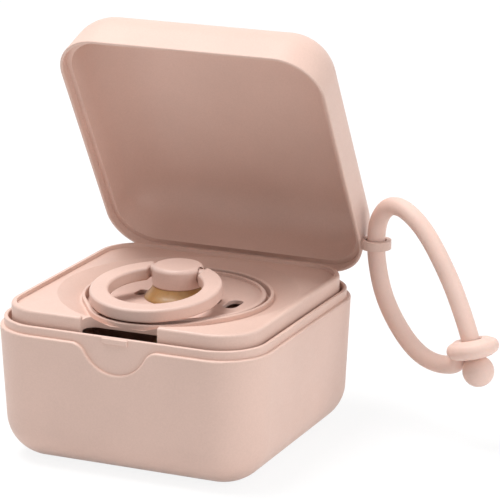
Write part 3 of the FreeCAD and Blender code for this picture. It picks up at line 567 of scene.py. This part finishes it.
class PACIFIERCASE_OT_case(bpy.types.Operator):
    """Finishes the base and the lid in satin plastic, and the hinge pin in steel"""

    bl_idname = "pacifier_case.case"
    bl_label = "Case Shells"

    def execute(self, context):
        finish = context.scene.pacifier_case_finish
        plastic = moulded_plastic("case_plastic", finish.case_colour, finish)
        for node in CASE_NODES:
            give(node, plastic)
        give("hinge_pin", drawn_steel("pin_steel", finish.steel_colour))
        return {"FINISHED"}


class PACIFIERCASE_OT_tray(bpy.types.Operator):
    """Finishes the lift-out tray in satin plastic"""

    bl_idname = "pacifier_case.tray"
    bl_label = "Lift-out Tray"

    def execute(self, context):
        finish = context.scene.pacifier_case_finish
        give("insert_tray", moulded_plastic("tray_plastic", finish.tray_colour, finish))
        return {"FINISHED"}


class PACIFIERCASE_OT_pacifier(bpy.types.Operator):
    """Finishes the pacifier's shield, knob, ring and plug in satin plastic"""

    bl_idname = "pacifier_case.pacifier"
    bl_label = "Pacifier"

    def execute(self, context):
        finish = context.scene.pacifier_case_finish
        plastic = moulded_plastic("pacifier_plastic", finish.pacifier_colour, finish)
        for node in HARD_PACIFIER_NODES:
            give(node, plastic)
        return {"FINISHED"}


class PACIFIERCASE_OT_stage(bpy.types.Operator):
    """Sets up the camera, the soft light and the white floor"""

    bl_idname = "pacifier_case.stage"
    bl_label = "Studio Stage"

    def execute(self, context):
        stage = context.scene.pacifier_case_stage
        context.scene.view_settings.view_transform = "Standard"
        self.make_camera(context.scene, stage)
        self.make_world(context.scene, stage)
        self.make_lamp(context.scene, "key_lamp", KEY_LAMP_PLACE, stage.key_size, stage.key_power)
        self.make_lamp(context.scene, "side_lamp", SIDE_LAMP_PLACE, stage.side_size, stage.side_power)
        self.make_floor(context.scene, stage)
        return {"FINISHED"}

    def make_camera(self, scene, stage):
        """The camera at its distance from the aim, turned right of the front and raised."""
        az, el = stage.azimuth, stage.elevation
        right = Vector((math.cos(az), math.sin(az), 0.0))
        back = Vector((math.sin(az) * math.cos(el), -math.cos(az) * math.cos(el), math.sin(el)))
        up = back.cross(right)
        aim = right * stage.aim_right + up * stage.aim_up
        lens = bpy.data.cameras.new("camera")
        lens.sensor_fit = "HORIZONTAL"
        lens.sensor_width = 36.0
        lens.lens = stage.lens
        lens.clip_end = 20.0
        camera = bpy.data.objects.new("camera", lens)
        turn = Matrix((right, up, back)).transposed().to_4x4()
        camera.matrix_world = Matrix.Translation(aim + back * stage.distance) @ turn
        scene.collection.objects.link(camera)
        scene.camera = camera

    def make_world(self, scene, stage):
        """White to the camera and in gloss, even soft light to everything else."""
        world = bpy.data.worlds.new("studio")
        world.use_nodes = True
        nodes, links = world.node_tree.nodes, world.node_tree.links
        backdrop = nodes["Background"]
        backdrop.inputs["Color"].default_value = (*WHITE, 1.0)
        strength = nodes.new("ShaderNodeMapRange")
        strength.inputs["To Min"].default_value = stage.surround
        strength.inputs["To Max"].default_value = 1.0
        links.new(self.in_view(nodes, links), strength.inputs["Value"])
        links.new(strength.outputs["Result"], backdrop.inputs["Strength"])
        scene.world = world

    def in_view(self, nodes, links):
        """1 where the camera sees a surface, straight on, in gloss or through glass, and 0 for its light."""
        ray = nodes.new("ShaderNodeLightPath")
        total = ray.outputs["Is Camera Ray"]
        for kind in ("Is Glossy Ray", "Is Transmission Ray"):
            either = nodes.new("ShaderNodeMath")
            either.operation = "MAXIMUM"
            links.new(total, either.inputs[0])
            links.new(ray.outputs[kind], either.inputs[1])
            total = either.outputs["Value"]
        return total

    def make_lamp(self, scene, name, place, size, power):
        """A large square lamp that looks at the case."""
        light = bpy.data.lights.new(name, "AREA")
        light.size = size
        light.energy = power
        lamp = bpy.data.objects.new(name, light)
        lamp.matrix_world = facing(Vector(place), Vector(place).normalized())
        scene.collection.objects.link(lamp)

    def make_floor(self, scene, stage):
        """A white floor that keeps a faint shadow."""
        shape = bmesh.new()
        bmesh.ops.create_grid(shape, x_segments=1, y_segments=1, size=stage.floor_half)
        mesh = bpy.data.meshes.new("floor")
        shape.to_mesh(mesh)
        shape.free()
        floor = bpy.data.objects.new("floor", mesh)
        floor.location.z = -stage.floor_drop
        scene.collection.objects.link(floor)
        paint = bpy.data.materials.new("white_floor")
        paint.use_nodes = True
        nodes, links = paint.node_tree.nodes, paint.node_tree.links
        nodes.remove(nodes["Principled BSDF"])
        matte = nodes.new("ShaderNodeBsdfDiffuse")
        matte.inputs["Color"].default_value = grey(stage.floor_lit)
        shadowed = nodes.new("ShaderNodeBsdfDiffuse")
        shadowed.inputs["Color"].default_value = grey(stage.floor_shade)
        glow = nodes.new("ShaderNodeEmission")
        glow.inputs["Strength"].default_value = stage.floor_glow
        both = nodes.new("ShaderNodeAddShader")
        links.new(shadowed.outputs["BSDF"], both.inputs[0])
        links.new(glow.outputs["Emission"], both.inputs[1])
        pick = nodes.new("ShaderNodeMixShader")
        links.new(self.in_view(nodes, links), pick.inputs["Fac"])
        links.new(matte.outputs["BSDF"], pick.inputs[1])
        links.new(both.outputs["Shader"], pick.inputs[2])
        links.new(pick.outputs["Shader"], nodes["Material Output"].inputs["Surface"])
        mesh.materials.append(paint)


OPERATORS = (
    PACIFIERCASE_OT_stage,
    PACIFIERCASE_OT_strap,
    PACIFIERCASE_OT_teat,
    PACIFIERCASE_OT_case,
    PACIFIERCASE_OT_tray,
    PACIFIERCASE_OT_pacifier,
)


class PACIFIERCASE_PT_dressing(bpy.types.Panel):
    """Lists the settings and the pieces that can be made"""

    bl_idname = "PACIFIERCASE_PT_dressing"
    bl_label = "Pacifier Case"
    bl_space_type = "VIEW_3D"
    bl_region_type = "UI"
    bl_category = "Pacifier Case"

    def draw(self, context):
        for group in SETTINGS:
            for name in SETTINGS[group].__annotations__:
                self.layout.prop(getattr(context.scene, group), name)
        for operator in OPERATORS:
            self.layout.operator(operator.bl_idname)


SETTINGS = {
    "pacifier_case_finish": PacifierCaseFinish,
    "pacifier_case_strap": PacifierCaseStrap,
    "pacifier_case_stage": PacifierCaseStage,
}
CLASSES = (*SETTINGS.values(), *OPERATORS, PACIFIERCASE_PT_dressing)


def register():
    for made in CLASSES:
        bpy.utils.register_class(made)
    for name, group in SETTINGS.items():
        setattr(bpy.types.Scene, name, bpy.props.PointerProperty(type=group))


def unregister():
    for name in SETTINGS:
        delattr(bpy.types.Scene, name)
    for made in reversed(CLASSES):
        bpy.utils.unregister_class(made)


def main():
    register()
    bpy.ops.pacifier_case.stage()
    bpy.ops.pacifier_case.strap()
    bpy.ops.pacifier_case.teat()
    bpy.ops.pacifier_case.case()
    bpy.ops.pacifier_case.tray()
    bpy.ops.pacifier_case.pacifier()
    bpy.context.view_layer.update()


if __name__ == "__main__":
    main()
